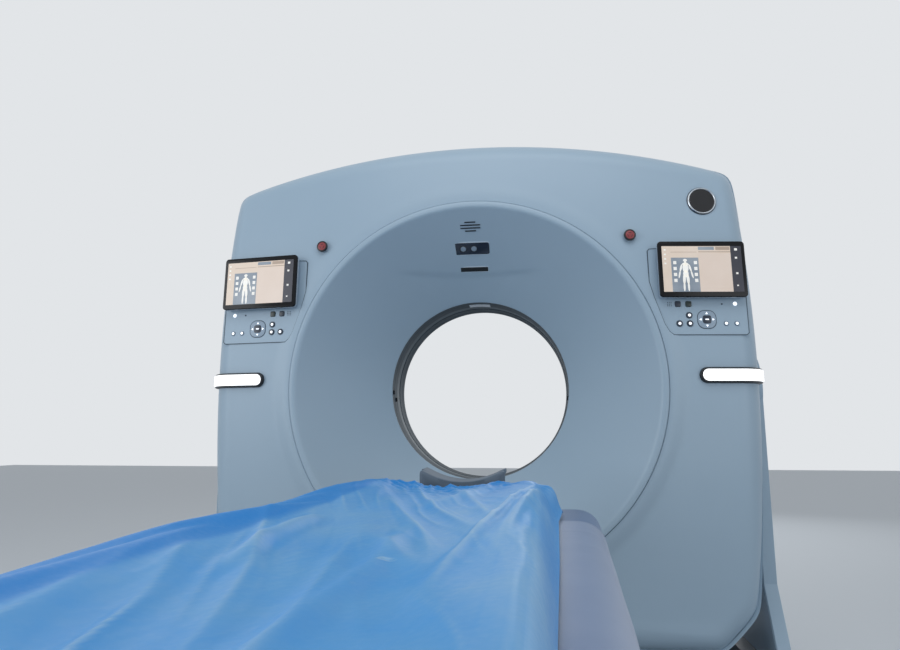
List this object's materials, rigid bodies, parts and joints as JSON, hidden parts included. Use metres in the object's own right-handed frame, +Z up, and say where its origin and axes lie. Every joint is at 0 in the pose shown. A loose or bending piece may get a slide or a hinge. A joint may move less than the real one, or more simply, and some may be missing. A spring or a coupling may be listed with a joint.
{
  "type": "ct scanner",
  "caption": "Whole-body ct scanner: tilting ring gantry with a spinning scan rotor, and a lifting patient table with a sliding cradle.",
  "frame": {"origin": "on the floor under the scan centre, in the middle of the gantry's anchors", "axes": "+X to the right of a viewer at the table, +Y from the table into the gantry, +Z up"},
  "size_m": [2.112, 3.6075, 1.942],
  "materials": {
    "base_steel": "satin",
    "pedestal_paint": "satin",
    "cover_plastic": "satin",
    "duct_metal": "satin",
    "frame_casting": "rough",
    "liner_plastic": "satin",
    "window_film": "gloss",
    "black_plastic": "gloss",
    "screen_glass": "gloss",
    "lamp_lens": "satin",
    "badge_metal": "polished",
    "bearing_steel": "brushed",
    "carbon_brush": "matt",
    "rotor_aluminium": "machined",
    "tube_steel": "satin",
    "tank_paint": "satin",
    "detector_black": "matt",
    "collimator_brass": "machined",
    "slip_copper": "machined",
    "weight_iron": "rough",
    "cover_fabric": "woven",
    "cradle_carbon": "satin",
    "pad_vinyl": "satin",
    "headrest_foam": "matt",
    "blue_film": "gloss",
    "dark_key": "matt",
    "pale_key": "satin",
    "white_key": "satin",
    "stop_red": "satin"
  },
  "bodies": {
    "base": {"floor_frame": "base_steel", "pedestals": "pedestal_paint", "pedestal_covers": "cover_plastic", "floor_duct": "duct_metal", "table_base": "base_steel", "table_base_cover": "cover_plastic"},
    "gantry": {"tilt_frame": "frame_casting", "front_cover": "cover_plastic", "rear_cover": "cover_plastic", "side_covers": "cover_plastic", "top_cover": "cover_plastic", "front_funnel": "cover_plastic", "rear_funnel": "cover_plastic", "bore_liner": "liner_plastic", "scan_window": "window_film", "display_housings": "black_plastic", "display_screens": "screen_glass", "control_panels": "cover_plastic", "panel_lamps": "lamp_lens", "grip_housings": "black_plastic", "grip_lights": "lamp_lens", "badge": "badge_metal", "speaker_grille": "black_plastic", "camera_panel": "black_plastic", "bearing_outer": "bearing_steel", "brush_block": "carbon_brush"},
    "rotor": {"rotor_disc": "rotor_aluminium", "bearing_inner": "bearing_steel", "xray_tube": "tube_steel", "generator": "tank_paint", "detector": "detector_black", "collimator": "collimator_brass", "slip_ring": "slip_copper", "counterweight": "weight_iron"},
    "lift_stage": {"lift_stage": "cover_plastic"},
    "table_top": {"table_frame": "frame_casting", "table_cover": "cover_fabric"},
    "cradle": {"cradle": "cradle_carbon", "cradle_pad": "pad_vinyl", "headrest": "headrest_foam", "drape": "blue_film"},
    "square_key_inner_right": {"square_key_inner_right": "dark_key"},
    "square_key_inner_left": {"square_key_inner_left": "dark_key"},
    "square_key_outer_right": {"square_key_outer_right": "dark_key"},
    "square_key_outer_left": {"square_key_outer_left": "dark_key"},
    "ring_key_top_right": {"ring_key_top_right": "pale_key"},
    "ring_key_top_left": {"ring_key_top_left": "pale_key"},
    "ring_key_low_right": {"ring_key_low_right": "pale_key"},
    "ring_key_low_left": {"ring_key_low_left": "pale_key"},
    "ring_key_corner_right": {"ring_key_corner_right": "pale_key"},
    "ring_key_corner_left": {"ring_key_corner_left": "pale_key"},
    "white_key_inner_right": {"white_key_inner_right": "white_key"},
    "white_key_inner_left": {"white_key_inner_left": "white_key"},
    "white_key_outer_right": {"white_key_outer_right": "white_key"},
    "white_key_outer_left": {"white_key_outer_left": "white_key"},
    "nav_pad_right": {"nav_pad_right": "white_key"},
    "nav_pad_left": {"nav_pad_left": "white_key"},
    "stop_button_right": {"stop_button_right": "stop_red"},
    "stop_button_left": {"stop_button_left": "stop_red"}
  },
  "joints": [
    {"name": "gantry_tilt", "type": "hinge", "parent": "base", "child": "gantry", "pos_m": [0, 0, 1.02], "axis": [1, 0, 0], "range_deg": [-30, 30]},
    {"name": "rotor_spin", "type": "hinge", "parent": "gantry", "child": "rotor", "pos_m": [0, 0, 1.02], "axis": [0, 1, 0], "continuous": true},
    {"name": "table_lift", "type": "slide", "parent": "base", "child": "table_top", "axis": [0, 0, 1], "range_m": [-0.08, 0.22]},
    {"name": "stage_lift", "type": "slide", "parent": "base", "child": "lift_stage", "axis": [0, 0, 1], "range_m": [-0.045, 0.115]},
    {"name": "cradle_feed", "type": "slide", "parent": "table_top", "child": "cradle", "axis": [0, 1, 0], "range_m": [-0.49, 1.33], "deforming": ["drape"]},
    {"name": "square_key_inner_right_press", "type": "slide", "parent": "gantry", "child": "square_key_inner_right", "axis": [-0.1218, 0.992, -0.0339], "range_m": [0, 0.0025], "stiffness_N_per_m": 400, "springref_m": -0.001},
    {"name": "square_key_inner_left_press", "type": "slide", "parent": "gantry", "child": "square_key_inner_left", "axis": [0.1218, 0.992, -0.0339], "range_m": [0, 0.0025], "stiffness_N_per_m": 400, "springref_m": -0.001},
    {"name": "square_key_outer_right_press", "type": "slide", "parent": "gantry", "child": "square_key_outer_right", "axis": [-0.1218, 0.992, -0.0339], "range_m": [0, 0.0025], "stiffness_N_per_m": 400, "springref_m": -0.001},
    {"name": "square_key_outer_left_press", "type": "slide", "parent": "gantry", "child": "square_key_outer_left", "axis": [0.1218, 0.992, -0.0339], "range_m": [0, 0.0025], "stiffness_N_per_m": 400, "springref_m": -0.001},
    {"name": "ring_key_top_right_press", "type": "slide", "parent": "gantry", "child": "ring_key_top_right", "axis": [-0.1218, 0.992, -0.0339], "range_m": [0, 0.0025], "stiffness_N_per_m": 400, "springref_m": -0.001},
    {"name": "ring_key_top_left_press", "type": "slide", "parent": "gantry", "child": "ring_key_top_left", "axis": [0.1218, 0.992, -0.0339], "range_m": [0, 0.0025], "stiffness_N_per_m": 400, "springref_m": -0.001},
    {"name": "ring_key_low_right_press", "type": "slide", "parent": "gantry", "child": "ring_key_low_right", "axis": [-0.1218, 0.992, -0.0339], "range_m": [0, 0.0025], "stiffness_N_per_m": 400, "springref_m": -0.001},
    {"name": "ring_key_low_left_press", "type": "slide", "parent": "gantry", "child": "ring_key_low_left", "axis": [0.1218, 0.992, -0.0339], "range_m": [0, 0.0025], "stiffness_N_per_m": 400, "springref_m": -0.001},
    {"name": "ring_key_corner_right_press", "type": "slide", "parent": "gantry", "child": "ring_key_corner_right", "axis": [-0.1218, 0.992, -0.0339], "range_m": [0, 0.0025], "stiffness_N_per_m": 400, "springref_m": -0.001},
    {"name": "ring_key_corner_left_press", "type": "slide", "parent": "gantry", "child": "ring_key_corner_left", "axis": [0.1218, 0.992, -0.0339], "range_m": [0, 0.0025], "stiffness_N_per_m": 400, "springref_m": -0.001},
    {"name": "white_key_inner_right_press", "type": "slide", "parent": "gantry", "child": "white_key_inner_right", "axis": [-0.1218, 0.992, -0.0339], "range_m": [0, 0.0025], "stiffness_N_per_m": 400, "springref_m": -0.001},
    {"name": "white_key_inner_left_press", "type": "slide", "parent": "gantry", "child": "white_key_inner_left", "axis": [0.1218, 0.992, -0.0339], "range_m": [0, 0.0025], "stiffness_N_per_m": 400, "springref_m": -0.001},
    {"name": "white_key_outer_right_press", "type": "slide", "parent": "gantry", "child": "white_key_outer_right", "axis": [-0.1218, 0.992, -0.0339], "range_m": [0, 0.0025], "stiffness_N_per_m": 400, "springref_m": -0.001},
    {"name": "white_key_outer_left_press", "type": "slide", "parent": "gantry", "child": "white_key_outer_left", "axis": [0.1218, 0.992, -0.0339], "range_m": [0, 0.0025], "stiffness_N_per_m": 400, "springref_m": -0.001},
    {"name": "nav_pad_right_press", "type": "slide", "parent": "gantry", "child": "nav_pad_right", "axis": [-0.1218, 0.992, -0.0339], "range_m": [0, 0.0025], "stiffness_N_per_m": 400, "springref_m": -0.001},
    {"name": "nav_pad_left_press", "type": "slide", "parent": "gantry", "child": "nav_pad_left", "axis": [0.1218, 0.992, -0.0339], "range_m": [0, 0.0025], "stiffness_N_per_m": 400, "springref_m": -0.001},
    {"name": "stop_button_right_press", "type": "slide", "parent": "gantry", "child": "stop_button_right", "axis": [-0.0869, 0.9941, -0.0651], "range_m": [0, 0.006]},
    {"name": "stop_button_left_press", "type": "slide", "parent": "gantry", "child": "stop_button_left", "axis": [0.0869, 0.9941, -0.0651], "range_m": [0, 0.006]}
  ],
  "couplings": [
    {"joint": "stage_lift", "follows": "table_lift", "ratio": 0.5},
    {"joint": "cradle_feed", "follows": "table_lift", "ratio": 6}
  ]
}
